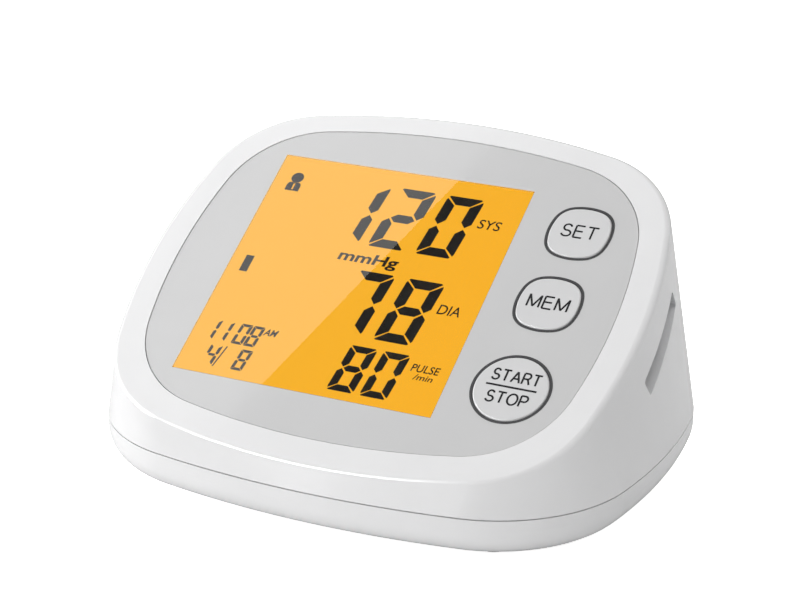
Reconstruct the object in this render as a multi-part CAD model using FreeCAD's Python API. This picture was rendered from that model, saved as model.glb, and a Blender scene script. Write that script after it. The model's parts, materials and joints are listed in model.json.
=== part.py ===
"""Desktop upper arm blood pressure monitor: an assembly of separate sub-parts, in millimetres.

Frame: +Z up, +X towards the key side, +Y to the rear. The origin is the centre of the footprint, on the
ground plane under the feet. Points on the sloping face are given as u (across), v (up the slope) and
w (out of the face), measured from FACE_POINT.
"""
import math
import os

import FreeCAD
import Part

Vector = FreeCAD.Vector
X_AXIS = Vector(1, 0, 0)
Y_AXIS = Vector(0, 1, 0)
Z_AXIS = Vector(0, 0, 1)

# ---------------------------------------------------------------- driving dimensions
TILT = 32.0                       # slope of the face from the ground
FACE_POINT = Vector(0, -7.26, 44.5)
WALL = 2.2                        # casing wall
GAP = 0.3                         # clearance between pieces that move apart
REVEAL = 0.28                     # width of the seam round the casing

# ovals: half width, half height, top and bottom radius, side radius, corner radius
PANEL = (55.7, 45.1, 183.9, 117.4, 24.85)
RIM = (63.1, 51.9, 186.0, 115.4, 27.0)
SPLIT = (66.9, 53.7, 209.0, 138.6, 34.1)
FACE_V = 0.35                     # centre of the rim and of the grey panel on the slope
PANEL_GAP = 0.2                   # seam round the grey panel
EDGE_ROUND = 1.4                  # rounding of the rim's outer edge

SPLIT_Z = 11.7                    # height of the seam between the casing halves
BASE_Z = 1.5                      # underside of the casing, which stands on the feet
BASE_ROUND = 7.5                  # rolled lower edge of the tub

PANEL_TOP = -0.15                 # the panel lies just below the rim
PANEL_BACK = -1.15                # back of the panel, front of the casing's face web
WEB_BACK = -4.0                   # back of the face web
GLASS_BACK = -3.35                # the display glass fills the pocket behind the window

WINDOW_U = -8.69
WINDOW_SIZE = (66.0, 66.7)
GLASS_SIZE = 70.0
FRAME_SIZE = 74.0
GUIDE_SIZE = (66.0, 65.0)
FRAME_BACK = -11.7
PCB_TOP = -11.9
PCB_BACK = -13.5

KEYS = {                          # centre u, centre v, outline; the outline is the ring's middle line
    "start": (39.3, -22.1, (9.0, 9.0, 9.0, 9.0, 9.0)),
    "mem": (39.25, 2.15, (7.6, 7.6, 13.0, 13.0, 5.2)),
    "set": (39.25, 23.2, (7.6, 7.6, 13.0, 13.0, 5.2)),
}
RING_OUT = 0.33                   # dark ring, outside and inside its middle line
RING_IN = 0.25
KEY_INSET = 0.4
KEY_TOP = 0.1
KEY_FLANGE = 0.9
KEY_REST_GAP = 0.5                # key plunger to switch stem

SLOT_V = (-8.0, 18.0)             # socket recess in the key-side wall
SLOT_W = (-14.0, -9.0)
SLOT_CORNER = 0.9
SLOT_FLOOR = 59.8
SLOT_GROOVE_V = (-7.4, 5.0)       # drain groove along the upper edge of the recess
SLOT_GROOVE_W = (-9.9, -9.3)
USB_V = -2.0
USB_W = -10.6

AIR_Y = 12.0                      # cuff air socket in the other side wall
AIR_Z = 36.5
AIR_OUT = -63.4
AIR_BORE = 2.75

COVER_HALF = 31.7                 # battery cover
COVER_LIP = 34.5
COVER_FRONT = -14.0
COVER_TOP_Z = 8.3
COVER_REAR = 46.8

CELL_RADIUS = 7.1                 # AA cells
CELL_LENGTH = 49.3
CELL_PITCH = 14.7
CELL_Z = 11.4
TRAY_HALF = 31.1
TRAY_FRONT = -13.0
TRAY_REAR = 46.5
TRAY_TOP = 20.6
TRAY_WALL = 1.4

FEET = ((40, -36), (-40, -36), (40, 26), (-40, 26))
FOOT_RADIUS = 5.0
CASE_SCREWS = ((52, -30), (-52, -30), (46, 36), (-46, 36))
CASE_SCREW_RADIUS = 1.45          # at the middle of its thread
PCB_SCREWS = ((31.6, -33.0), (31.6, 33.0), (-48.2, -6.0), (-48.2, 20.0))
TRAY_SCREWS = ((22, -17), (-22, -17))

PUMP_X = -45.0                    # pump axis, along Y
PUMP_Z = 15.6
PUMP_START = -13.0
MOTOR_RADIUS = 10.0
HEAD_RADIUS = 11.0
MOTOR_LENGTH = 24.0
WOBBLE_TILT = 5.0

LINE_Y = 26.0                     # air line across the casing
LINE_Z = 36.5
BARB_RADIUS = 1.6
TUBE_RADIUS = 2.6
TEE_X = 5.0
VALVE_X = 45.0
VALVE_Y = 24.0

FACE = FreeCAD.Placement(FACE_POINT, FreeCAD.Rotation(X_AXIS, TILT))


# ---------------------------------------------------------------- shape helpers
def on_face(shape):
    """Move a shape drawn in u, v, w onto the sloping face."""
    moved = shape.copy()
    moved.Placement = FACE.multiply(moved.Placement)
    return moved


def box(x0, x1, y0, y1, z0, z1):
    return Part.makeBox(x1 - x0, y1 - y0, z1 - z0, Vector(x0, y0, z0))


def rod(radius, start, end):
    """Cylinder between two points."""
    axis = Vector(*end).sub(Vector(*start))
    return Part.makeCylinder(radius, axis.Length, Vector(*start), axis)


def pipe(outer, inner, start, end):
    return rod(outer, start, end).cut(rod(inner, start, end))


def rounded_box(x0, x1, y0, y1, z0, z1, radius):
    """Box with its upright edges rounded."""
    block = box(x0, x1, y0, y1, z0, z1)
    upright = [e for e in block.Edges if abs(e.Vertexes[0].Point.z - e.Vertexes[1].Point.z) > 1e-6]
    return block.makeFillet(radius, upright)


def grown(oval, offset):
    return tuple(size + offset for size in oval)


def oval_wire(oval, centre_v=0.0, level=0.0):
    """Closed wire of eight tangent arcs: four sides and four corners."""
    half_w, half_h, top_r, side_r, corner_r = oval
    if half_w == corner_r:
        circle = Part.makeCircle(half_w, Vector(0, centre_v, level), Z_AXIS)
        return Part.Wire([circle])
    top = Vector(0, half_h - top_r, 0)
    side = Vector(half_w - side_r, 0, 0)
    across = side.sub(top)
    reach = across.Length
    r1 = top_r - corner_r
    r2 = side_r - corner_r
    along = (r1 * r1 - r2 * r2 + reach * reach) / (2 * reach)
    off = math.sqrt(r1 * r1 - along * along)
    unit = Vector(across).normalize()
    corner = top.add(unit * along).add(Vector(-unit.y, unit.x, 0) * off)
    if corner.x < 0 or corner.y < 0:
        corner = top.add(unit * along).sub(Vector(-unit.y, unit.x, 0) * off)
    to_top = corner.sub(top).normalize()
    to_side = corner.sub(side).normalize()
    p_top = corner.add(to_top * corner_r)
    p_side = corner.add(to_side * corner_r)
    p_mid = corner.add(to_top.add(to_side).normalize() * corner_r)

    def place(p, flip_x=1, flip_y=1):
        return Vector(p.x * flip_x, p.y * flip_y + centre_v, level)

    arcs = [
        Part.Arc(place(p_side, 1, -1), place(Vector(half_w, 0, 0)), place(p_side)),
        Part.Arc(place(p_side), place(p_mid), place(p_top)),
        Part.Arc(place(p_top), place(Vector(0, half_h, 0)), place(p_top, -1)),
        Part.Arc(place(p_top, -1), place(p_mid, -1), place(p_side, -1)),
        Part.Arc(place(p_side, -1), place(Vector(-half_w, 0, 0)), place(p_side, -1, -1)),
        Part.Arc(place(p_side, -1, -1), place(p_mid, -1, -1), place(p_top, -1, -1)),
        Part.Arc(place(p_top, -1, -1), place(Vector(0, -half_h, 0)), place(p_top, 1, -1)),
        Part.Arc(place(p_top, 1, -1), place(p_mid, 1, -1), place(p_side, 1, -1)),
    ]
    return Part.Wire([arc.toShape() for arc in arcs])


def oval_prism(oval, w0, w1, centre_v=0.0):
    face = Part.Face(oval_wire(oval, centre_v, w0))
    return face.extrude(Vector(0, 0, w1 - w0))


def key_prism(name, offset, w0, w1):
    """Prism with a key's outline, grown by offset, in face coordinates."""
    centre_u, centre_v, outline = KEYS[name]
    prism = oval_prism(grown(outline, offset), w0, w1)
    prism.translate(Vector(centre_u, centre_v, 0))
    return prism


def window_block(size, w0, w1, corner=0.0):
    half_u = size[0] / 2
    half_v = size[1] / 2
    if corner:
        return rounded_box(WINDOW_U - half_u, WINDOW_U + half_u, -half_v, half_v, w0, w1, corner)
    return box(WINDOW_U - half_u, WINDOW_U + half_u, -half_v, half_v, w0, w1)


def screw(radius, head_radius, head_height, length):
    """Pan-head screw pointing up, with a cross recess in its head; its head's underside is at z = 0."""
    body = rod(radius, (0, 0, 0), (0, 0, length))
    head = rod(head_radius, (0, 0, -head_height), (0, 0, 0))
    arm = head_radius * 0.55
    slot = 0.35
    depth = head_height * 0.55
    recess = box(-arm, arm, -slot, slot, -head_height, -head_height + depth)
    recess = recess.fuse(box(-slot, slot, -arm, arm, -head_height, -head_height + depth))
    return body.fuse(head).cut(recess)


def at(shape, x, y, z):
    moved = shape.copy()
    moved.translate(Vector(x, y, z))
    return moved


def fused(shapes):
    result = shapes[0]
    for shape in shapes[1:]:
        result = result.fuse(shape)
    return result.removeSplitter()


def swept_tube(outer, inner, points, bend):
    """Tube along straight runs joined by tangent arcs of one bend radius."""
    corners = [Vector(*p) for p in points]
    edges = []
    start = corners[0]
    for before, corner, after in zip(corners, corners[1:], corners[2:]):
        back = before.sub(corner).normalize()
        ahead = after.sub(corner).normalize()
        half_turn = (math.pi - back.getAngle(ahead)) / 2
        cut = bend * math.tan(half_turn)
        enter = corner.add(back * cut)
        leave = corner.add(ahead * cut)
        bisector = back.add(ahead).normalize()
        middle = corner.add(bisector * (bend / math.cos(half_turn) - bend))
        edges.append(Part.makeLine(start, enter))
        edges.append(Part.Arc(enter, middle, leave).toShape())
        start = leave
    edges.append(Part.makeLine(start, corners[-1]))
    path = Part.Wire(edges)
    direction = corners[1].sub(corners[0])

    def sweep(radius):
        profile = Part.Wire([Part.makeCircle(radius, corners[0], direction)])
        return path.makePipeShell([profile], True, False)

    if inner:
        return sweep(outer).cut(sweep(inner))
    return sweep(outer)


# ---------------------------------------------------------------- casing
def upper_body(offset, face_level, foot_level):
    """Solid between the split line's oval and the rim's oval, both moved in or out by offset."""
    foot = oval_wire(grown(SPLIT, offset), 0.0, foot_level)
    crown = oval_wire(grown(RIM, offset), FACE_V, face_level)
    crown.Placement = FACE
    return Part.makeLoft([foot, crown], True, True)


def tub_body(offset, floor):
    """Tub below the split line, with a rolled lower edge."""
    tub = oval_prism(grown(SPLIT, offset), floor, SPLIT_Z)
    lower = [e for e in tub.Edges if e.BoundBox.ZMax < floor + 1e-4]
    return tub.makeFillet(BASE_ROUND + offset, lower)


def crown_edges(shape):
    """Edges of the rim's outer crease."""
    normal = FACE.Rotation.multVec(Z_AXIS)
    found = []
    for edge in shape.Edges:
        points = edge.discretize(5)
        if all(abs(p.sub(FACE_POINT).dot(normal)) < 1e-4 for p in points):
            found.append(edge)
    return found


def recess_block(u0, u1, spread=0.0):
    """Socket recess outline run between two distances across the casing."""
    v0 = SLOT_V[0] - spread
    v1 = SLOT_V[1] + spread
    w0 = SLOT_W[0] - spread
    w1 = SLOT_W[1] + spread
    block = box(u0, u1, v0, v1, w0, w1)
    ends = []
    for edge in block.Edges:
        a = edge.Vertexes[0].Point
        b = edge.Vertexes[1].Point
        if abs(a.x - b.x) > 1e-6:
            ends.append(edge)
    return block.makeFillet(SLOT_CORNER, ends)


def make_top_case(outer, cavity):
    bosses = []
    for x, y in CASE_SCREWS:
        bosses.append(rod(3.3, (x, y, SPLIT_Z + 0.8), (x, y, 44)).common(outer))
    for u, v in PCB_SCREWS:
        bosses.append(on_face(rod(2.3, (u, v, PCB_TOP), (u, v, PANEL_BACK - 0.6))))
    case = outer.cut(cavity).fuse(bosses)
    case = case.cut(on_face(oval_prism(grown(PANEL, PANEL_GAP), PANEL_BACK, 5, FACE_V)))
    case = case.cut(on_face(window_block((GLASS_SIZE + 0.4, GLASS_SIZE + 0.4), WEB_BACK - 1, 0)))
    for name in KEYS:
        case = case.cut(on_face(key_prism(name, -KEY_INSET + GAP, WEB_BACK - 1, 0)))
    seam = oval_prism(grown(SPLIT, 10), SPLIT_Z - 5, SPLIT_Z + REVEAL / 2)
    rebate = oval_prism(grown(SPLIT, -WALL / 2), SPLIT_Z - 5, SPLIT_Z + 1.1)
    hollow = oval_prism(grown(SPLIT, -WALL - 2.5), SPLIT_Z - 5, SPLIT_Z + 1.2)
    case = case.cut(seam).cut(rebate.cut(hollow))
    for x, y in CASE_SCREWS:
        case = case.cut(rod(CASE_SCREW_RADIUS + 0.05, (x, y, SPLIT_Z - 3), (x, y, SPLIT_Z + 9)))
    for u, v in PCB_SCREWS:
        case = case.cut(on_face(rod(0.9, (u, v, PCB_TOP - 1), (u, v, PCB_TOP + 6))))
    case = case.cut(on_face(recess_block(55, 72)))
    case = case.cut(rod(6.15, (-72, AIR_Y, AIR_Z), (-55, AIR_Y, AIR_Z)))
    return case


def cover_region(slack):
    """Space of the battery cover in the tub's skin, grown by slack."""
    plate = box(-COVER_HALF - slack, COVER_HALF + slack, COVER_FRONT - slack, 70, 0, COVER_TOP_Z + slack)
    lip = box(-COVER_LIP - slack, COVER_LIP + slack, COVER_REAR - slack, 70, 0, COVER_TOP_Z + slack)
    return plate.fuse(lip)


def rail(side, slack):
    """Tongue along one side of the battery cover, which runs in the tub's channel."""
    floor = BASE_Z + WALL
    low = min(side * (COVER_HALF - 1.5), side * (COVER_HALF + 1.5))
    high = max(side * (COVER_HALF - 1.5), side * (COVER_HALF + 1.5))
    front = COVER_FRONT + 3 - slack
    rear = 70 if slack else COVER_REAR - 2
    return box(low - slack, high + slack, front, rear, floor + 0.3 - slack, floor + 1.1 + slack)


def make_bottom_case(tub, tub_hollow):
    floor = BASE_Z + WALL
    case = tub.cut(tub_hollow)
    lip = oval_prism(grown(SPLIT, -WALL / 2 - 0.1), SPLIT_Z - 2, SPLIT_Z + 0.9)
    lip = lip.cut(oval_prism(grown(SPLIT, -WALL), SPLIT_Z - 3, SPLIT_Z + 2))
    posts = [lip]
    for x, y in CASE_SCREWS:
        posts.append(rod(5.2, (x, y, floor - 0.5), (x, y, SPLIT_Z + 0.6)))
    for x, y in TRAY_SCREWS:
        posts.append(rod(3.0, (x, y, floor - 0.5), (x, y, floor + 2.0)))
    for rib in (-7.0, 5.0):
        cradle = box(PUMP_X - 10, PUMP_X + 10, rib, rib + 2, floor - 0.5, PUMP_Z - 4)
        posts.append(cradle.cut(rod(MOTOR_RADIUS + 0.1, (PUMP_X, rib - 1, PUMP_Z), (PUMP_X, rib + 3, PUMP_Z))))
    case = case.fuse(posts)
    case = case.cut(box(-90, 90, -90, 90, SPLIT_Z - REVEAL / 2, SPLIT_Z + 20).cut(
        oval_prism(grown(SPLIT, -WALL / 2 - 0.1), SPLIT_Z - 2, SPLIT_Z + 22)))
    case = case.cut(cover_region(GAP))
    for side in (-1, 1):
        case = case.cut(rail(side, GAP))
    for x, y in CASE_SCREWS:
        case = case.cut(rod(3.6, (x, y, 0), (x, y, 6.0)))
        case = case.cut(rod(1.8, (x, y, 5), (x, y, SPLIT_Z + 3)))
    for x, y in TRAY_SCREWS:
        case = case.cut(rod(0.9, (x, y, floor - 0.2), (x, y, floor + 3)))
    for x, y in FEET:
        case = case.cut(rod(FOOT_RADIUS + 0.1, (x, y, 0), (x, y, BASE_Z + 0.6)))
    return case


def make_battery_cover(tub, tub_hollow):
    cover = tub.cut(tub_hollow).common(cover_region(0.0).cut(rail(1, GAP)).cut(rail(-1, GAP)))
    floor = BASE_Z + WALL
    for side in (-1, 1):
        low = min(side * (COVER_HALF - 1.5), side * COVER_HALF)
        foot = box(low, low + 1.5, COVER_FRONT + 3, COVER_REAR - 2, floor - 0.3, floor + 1.1)
        cover = cover.fuse(foot).fuse(rail(side, 0.0))
    for row in range(5):
        grip = box(-8, 8, 30 + 2.4 * row, 31.2 + 2.4 * row, BASE_Z - 0.4, BASE_Z + 0.2)
        cover = cover.fuse(grip)
    return cover.removeSplitter()


def make_face_panel():
    panel = oval_prism(PANEL, PANEL_BACK, PANEL_TOP, FACE_V)
    hole = (WINDOW_SIZE[0] + 0.1, WINDOW_SIZE[1] + 0.1)
    panel = panel.cut(window_block(hole, PANEL_BACK - 1, 1))
    for name in KEYS:
        panel = panel.cut(key_prism(name, RING_OUT, PANEL_BACK - 1, 1))
    return on_face(panel)


def make_port_insert(cavity):
    block = box(SLOT_FLOOR - 1.6, 70, SLOT_V[0] - 2, SLOT_V[1] + 2, SLOT_W[0] - 1.6, SLOT_W[1] + 1.6)
    block = on_face(block).common(cavity)
    block = block.cut(on_face(recess_block(SLOT_FLOOR, 72)))
    mouth = rounded_box(USB_W - 1.5, USB_W + 1.5, USB_V - 4.1, USB_V + 4.1, SLOT_FLOOR - 3, SLOT_FLOOR + 1, 0.8)
    mouth.rotate(Vector(0, 0, 0), Y_AXIS, 90)
    centre = mouth.BoundBox
    mouth.translate(Vector(SLOT_FLOOR - centre.Center.x, 0, USB_W - centre.Center.z))
    groove = box(SLOT_FLOOR - 1.1, SLOT_FLOOR + 1, *SLOT_GROOVE_V, *SLOT_GROOVE_W)
    return block.cut(on_face(mouth)).cut(on_face(groove))


def make_foot(x, y):
    foot = rod(FOOT_RADIUS, (x, y, 0), (x, y, BASE_Z + 0.6))
    edges = [e for e in foot.Edges if e.BoundBox.ZMax < 1e-6]
    return foot.makeFillet(0.5, edges)


def make_case_screws():
    case_screw = screw(CASE_SCREW_RADIUS, 2.7, 1.8, 13)
    parts = [at(case_screw, x, y, 6.0) for x, y in CASE_SCREWS]
    tray_screw = screw(0.85, 2.0, 1.2, 3.3)
    for x, y in TRAY_SCREWS:
        flipped = tray_screw.copy()
        flipped.rotate(Vector(0, 0, 0), X_AXIS, 180)
        parts.append(at(flipped, x, y, BASE_Z + WALL + 3.4))
    return Part.makeCompound(parts)


# ---------------------------------------------------------------- batteries
def cell_places():
    return [(-1.5 + index) * CELL_PITCH for index in range(4)]


def make_cell(x, flipped):
    start = (TRAY_FRONT + TRAY_REAR) / 2 - CELL_LENGTH / 2 - 0.6
    can = rod(CELL_RADIUS, (x, start, CELL_Z), (x, start + CELL_LENGTH, CELL_Z))
    can = can.makeFillet(0.8, can.Edges)
    cell = can.fuse(rod(2.7, (x, start + CELL_LENGTH - 0.1, CELL_Z), (x, start + CELL_LENGTH + 1.2, CELL_Z)))
    if flipped:
        middle = Vector(x, (TRAY_FRONT + TRAY_REAR) / 2, CELL_Z)
        cell.rotate(middle, Z_AXIS, 180)
    return cell


def make_battery_tray():
    floor = BASE_Z + WALL
    outer = box(-TRAY_HALF, TRAY_HALF, TRAY_FRONT, TRAY_REAR, floor + 1.7, TRAY_TOP)
    inner = box(-TRAY_HALF + TRAY_WALL, TRAY_HALF - TRAY_WALL, TRAY_FRONT + TRAY_WALL, TRAY_REAR - TRAY_WALL,
                floor, TRAY_TOP - TRAY_WALL)
    tray = outer.cut(inner)
    for x, y in TRAY_SCREWS:
        ear = box(x - 4, x + 4, y - 4, TRAY_FRONT + 0.5, floor + 2.0, floor + 3.4)
        tray = tray.fuse(ear).cut(rod(1.1, (x, y, floor), (x, y, floor + 5)))
    for x in (-CELL_PITCH, 0, CELL_PITCH):
        tray = tray.fuse(box(x - 0.4, x + 0.4, 0, 33, CELL_Z + 4.5, TRAY_TOP - TRAY_WALL + 0.1))
    return tray.removeSplitter()


def make_contact_plates():
    front = TRAY_FRONT + TRAY_WALL
    rear = TRAY_REAR - TRAY_WALL
    plates = []
    for x in cell_places():
        for y in (front, rear - 0.4):
            plates.append(box(x - 5.5, x + 5.5, y, y + 0.4, CELL_Z - 5.5, CELL_Z + 5.5))
    return plates


def make_contact_springs():
    """One conical coil at the flat end of each cell."""
    coils = []
    for index, x in enumerate(cell_places()):
        helix = Part.makeHelix(0.95, 1.9, 4.2, -12)
        start = helix.Edges[0].valueAt(helix.Edges[0].FirstParameter)
        heading = helix.Edges[0].tangentAt(helix.Edges[0].FirstParameter)
        wire = Part.Wire([Part.makeCircle(0.35, start, heading)])
        coil = Part.Wire(helix.Edges).makePipeShell([wire], True, True)
        rear = index % 2 == 1
        coil.rotate(Vector(0, 0, 0), X_AXIS, 90 if rear else -90)
        wall = TRAY_REAR - TRAY_WALL - 0.8 if rear else TRAY_FRONT + TRAY_WALL + 0.8
        coils.append(at(coil, x, wall, CELL_Z))
    return coils


# ---------------------------------------------------------------- display
def make_lcd_frame():
    frame = window_block((FRAME_SIZE, FRAME_SIZE), FRAME_BACK, WEB_BACK - 0.5, 2.0)
    frame = frame.cut(window_block((69.0, 69.6), -7.9, 0))
    frame = frame.cut(window_block((58.0, 56.0), FRAME_BACK - 1, 0))
    for side in (-1, 1):
        low = side * 33.8 - 0.95
        frame = frame.cut(box(WINDOW_U - 30.2, WINDOW_U + 30.2, low, low + 1.9, FRAME_BACK - 1, 0))
    return on_face(frame)


def make_elastomer_strips():
    strips = []
    for side in (-1, 1):
        low = side * 33.8 - 0.8
        strips.append(on_face(box(WINDOW_U - 30, WINDOW_U + 30, low, low + 1.6, PCB_TOP, GLASS_BACK)))
    return Part.makeCompound(strips)


def make_backlight_leds():
    leds = []
    for index in range(5):
        v = -24 + 12 * index
        leds.append(on_face(box(WINDOW_U - 34.3, WINDOW_U - 33.1, v - 1.5, v + 1.5, -7.4, -5.2)))
    return Part.makeCompound(leds)


# ---------------------------------------------------------------- keys
def make_key(name):
    cap = key_prism(name, -KEY_INSET, -4.6, KEY_TOP)
    rim = [e for e in cap.Edges if e.BoundBox.ZMin > KEY_TOP - 1e-4]
    cap = cap.makeFillet(0.35, rim)
    flange = key_prism(name, KEY_FLANGE, -5.6, -4.3)
    centre_u, centre_v, _ = KEYS[name]
    bottom = PCB_TOP + 4.5 + KEY_REST_GAP
    plunger = rod(2.0, (centre_u, centre_v, bottom), (centre_u, centre_v, -5.0))
    return on_face(fused([cap, flange, plunger]))


def make_key_ring(name):
    ring = key_prism(name, RING_OUT, PANEL_BACK, PANEL_TOP + 0.05)
    return on_face(ring.cut(key_prism(name, -RING_IN, PANEL_BACK - 1, 1)))


def make_switch(name):
    centre_u, centre_v, _ = KEYS[name]
    half = 3.0
    body = box(centre_u - half, centre_u + half, centre_v - half, centre_v + half, PCB_TOP, PCB_TOP + 3.5)
    return on_face(body.cut(rod(1.75, (centre_u, centre_v, PCB_TOP + 1.5), (centre_u, centre_v, 0))))


def make_stem(name):
    centre_u, centre_v, _ = KEYS[name]
    return on_face(rod(1.6, (centre_u, centre_v, PCB_TOP + 2.2), (centre_u, centre_v, PCB_TOP + 4.5)))


# ---------------------------------------------------------------- circuit board
def make_main_pcb():
    board = rounded_box(-30, 47.5, -36, 36, PCB_BACK, PCB_TOP, 5)
    board = board.fuse(rounded_box(-48, -20, -10, 36, PCB_BACK, PCB_TOP, 5))
    board = board.fuse(rounded_box(-51, -20, -9, 24, PCB_BACK, PCB_TOP, 2))
    board = board.fuse(rounded_box(40, 56.8, USB_V - 6, USB_V + 6, PCB_BACK, PCB_TOP, 1))
    for u, v in PCB_SCREWS:
        board = board.cut(rod(1.2, (u, v, PCB_BACK - 1), (u, v, PCB_TOP + 1)))
    return on_face(board.removeSplitter())


def make_pcb_screws():
    pcb_screw = screw(0.85, 2.0, 1.2, 6)
    return Part.makeCompound([on_face(at(pcb_screw, u, v, PCB_BACK)) for u, v in PCB_SCREWS])


def make_controller_chip():
    parts = [box(4, 16, -14, -2, PCB_BACK - 1.5, PCB_BACK - 0.1)]
    for index in range(8):
        offset = -5.2 + index * 10.4 / 7
        parts.append(box(10 + offset - 0.2, 10 + offset + 0.2, -15, -1, PCB_BACK - 0.4, PCB_BACK))
        parts.append(box(3, 17, -8 + offset - 0.2, -8 + offset + 0.2, PCB_BACK - 0.4, PCB_BACK))
    return on_face(fused(parts))


def make_crystal():
    return on_face(rounded_box(22, 32, -10, -6, PCB_BACK - 3.5, PCB_BACK, 1.9))


def make_capacitors():
    cans = []
    for u, v in ((-22, 12), (-14, 12), (22, 4)):
        cans.append(on_face(rod(3.0, (u, v, PCB_BACK - 7), (u, v, PCB_BACK))))
    return Part.makeCompound(cans)


def make_buzzer():
    buzzer = rod(6.0, (-36, 14, PCB_BACK - 5), (-36, 14, PCB_BACK))
    return on_face(buzzer.cut(rod(1.0, (-36, 14, PCB_BACK - 6), (-36, 14, PCB_BACK - 2))))


def line_on_face():
    """Height of the air line's tee in face coordinates: v and w."""
    local = FACE.inverse().multVec(Vector(TEE_X, LINE_Y, LINE_Z))
    return local.y, local.z


def make_pressure_sensor():
    v, _ = line_on_face()
    body = box(TEE_X - 4, TEE_X + 4, v - 4, v + 4, PCB_BACK - 3, PCB_BACK)
    nozzle = rod(1.1, (TEE_X, v, PCB_BACK - 5.8), (TEE_X, v, PCB_BACK - 2.5))
    bore = rod(0.5, (TEE_X, v, PCB_BACK - 6), (TEE_X, v, PCB_BACK - 1.5))
    return on_face(body.fuse(nozzle).cut(bore))


def make_power_socket():
    shell = box(51.2, 57.6, USB_V - 3.75, USB_V + 3.75, PCB_TOP, PCB_TOP + 2.6)
    mouth = box(52.5, 60, USB_V - 3.4, USB_V + 3.4, PCB_TOP + 0.35, PCB_TOP + 2.25)
    tongue = box(52.0, 57.0, USB_V - 2.4, USB_V + 2.4, PCB_TOP + 1.1, PCB_TOP + 1.7)
    return on_face(shell.cut(mouth).fuse(tongue))


# ---------------------------------------------------------------- pump
def along_pump(radius, y0, y1):
    return rod(radius, (PUMP_X, y0, PUMP_Z), (PUMP_X, y1, PUMP_Z))


MOTOR_END = PUMP_START + MOTOR_LENGTH
HOUSING_END = MOTOR_END + 12.0
HEAD_START = HOUSING_END + 0.8
HEAD_END = HEAD_START + 6.2
SWAY_POINT = Vector(PUMP_X, MOTOR_END + 10.0, PUMP_Z)


def make_motor_can():
    can = along_pump(MOTOR_RADIUS, PUMP_START, MOTOR_END)
    can = can.cut(along_pump(MOTOR_RADIUS - 0.8, PUMP_START + 2.0, MOTOR_END - 1.2))
    return can.cut(along_pump(1.05, PUMP_START + 0.8, MOTOR_END + 1))


def make_motor_magnets():
    ring = along_pump(9.2, PUMP_START + 4, MOTOR_END - 4).cut(along_pump(7.8, PUMP_START + 3, MOTOR_END - 3))
    split = box(PUMP_X - 1.5, PUMP_X + 1.5, PUMP_START, MOTOR_END, PUMP_Z - 12, PUMP_Z + 12)
    return Part.makeCompound(ring.cut(split).Solids)


def make_motor_rotor():
    shaft = along_pump(1.0, PUMP_START + 1.0, MOTOR_END + 3.4)
    core = along_pump(7.2, PUMP_START + 5, MOTOR_END - 5)
    for index in range(3):
        slot = box(-0.9, 0.9, PUMP_START + 4, MOTOR_END - 4, 3.5, 8)
        slot.rotate(Vector(0, 0, 0), Y_AXIS, 120 * index)
        core = core.cut(at(slot, PUMP_X, 0, PUMP_Z))
    return fused([shaft, core, along_pump(2.6, PUMP_START + 2.6, PUMP_START + 5)])


def tilted(shape):
    """Lean a shape about the point round which the wobble plate sways."""
    leaned = shape.copy()
    leaned.rotate(SWAY_POINT, X_AXIS, WOBBLE_TILT)
    return leaned


def make_pump_crank():
    hub = along_pump(4.2, MOTOR_END + 1.8, MOTOR_END + 5.0).cut(along_pump(1.0, MOTOR_END, MOTOR_END + 3.4))
    return hub.fuse(tilted(along_pump(1.0, MOTOR_END + 4.4, MOTOR_END + 8.8)))


def make_wobble_plate():
    hub = along_pump(2.8, MOTOR_END + 5.8, MOTOR_END + 9.4)
    plate = along_pump(8.0, MOTOR_END + 8.2, MOTOR_END + 9.2)
    parts = [hub, plate]
    for index in range(3):
        angle = math.radians(90 + 120 * index)
        x = PUMP_X + 5.4 * math.cos(angle)
        z = PUMP_Z + 5.4 * math.sin(angle)
        parts.append(rod(1.8, (x, MOTOR_END + 9.0, z), (x, MOTOR_END + 10.0, z)))
    whole = fused(parts).cut(along_pump(1.06, MOTOR_END + 5, MOTOR_END + 8.9))
    return tilted(whole)


def make_pump_housing():
    shell = along_pump(HEAD_RADIUS, MOTOR_END, HOUSING_END)
    shell = shell.cut(along_pump(HEAD_RADIUS - 1.3, MOTOR_END + 1.2, HOUSING_END + 1))
    return shell.cut(along_pump(3.0, MOTOR_END - 1, MOTOR_END + 2))


def make_diaphragm():
    parts = [along_pump(HEAD_RADIUS, HOUSING_END, HEAD_START)]
    for index in range(3):
        angle = math.radians(90 + 120 * index)
        x = PUMP_X + 5.4 * math.cos(angle)
        z = PUMP_Z + 5.4 * math.sin(angle)
        parts.append(rod(3.0, (x, HOUSING_END - 1.0, z), (x, HOUSING_END + 0.2, z)))
    return fused(parts)


def make_pump_head():
    top = PUMP_Z + HEAD_RADIUS
    head = along_pump(HEAD_RADIUS, HEAD_START, HEAD_END)
    nozzle = rod(BARB_RADIUS, (PUMP_X, LINE_Y, PUMP_Z), (PUMP_X, LINE_Y, top + 3.6))
    bore = rod(0.8, (PUMP_X, LINE_Y, PUMP_Z), (PUMP_X, LINE_Y, top + 5))
    return head.fuse(nozzle).cut(bore)


# ---------------------------------------------------------------- valve and air line
VALVE_TOP = 22.0


def make_valve_frame():
    floor = BASE_Z + WALL
    frame = box(VALVE_X - 8, VALVE_X + 8, VALVE_Y - 6, VALVE_Y + 6, floor, VALVE_TOP)
    frame = frame.cut(box(VALVE_X - 7, VALVE_X + 7, VALVE_Y - 7, VALVE_Y + 7, floor + 1, VALVE_TOP - 1))
    return frame.cut(rod(2.6, (VALVE_X, VALVE_Y, VALVE_TOP - 2), (VALVE_X, VALVE_Y, VALVE_TOP + 1)))


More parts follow.
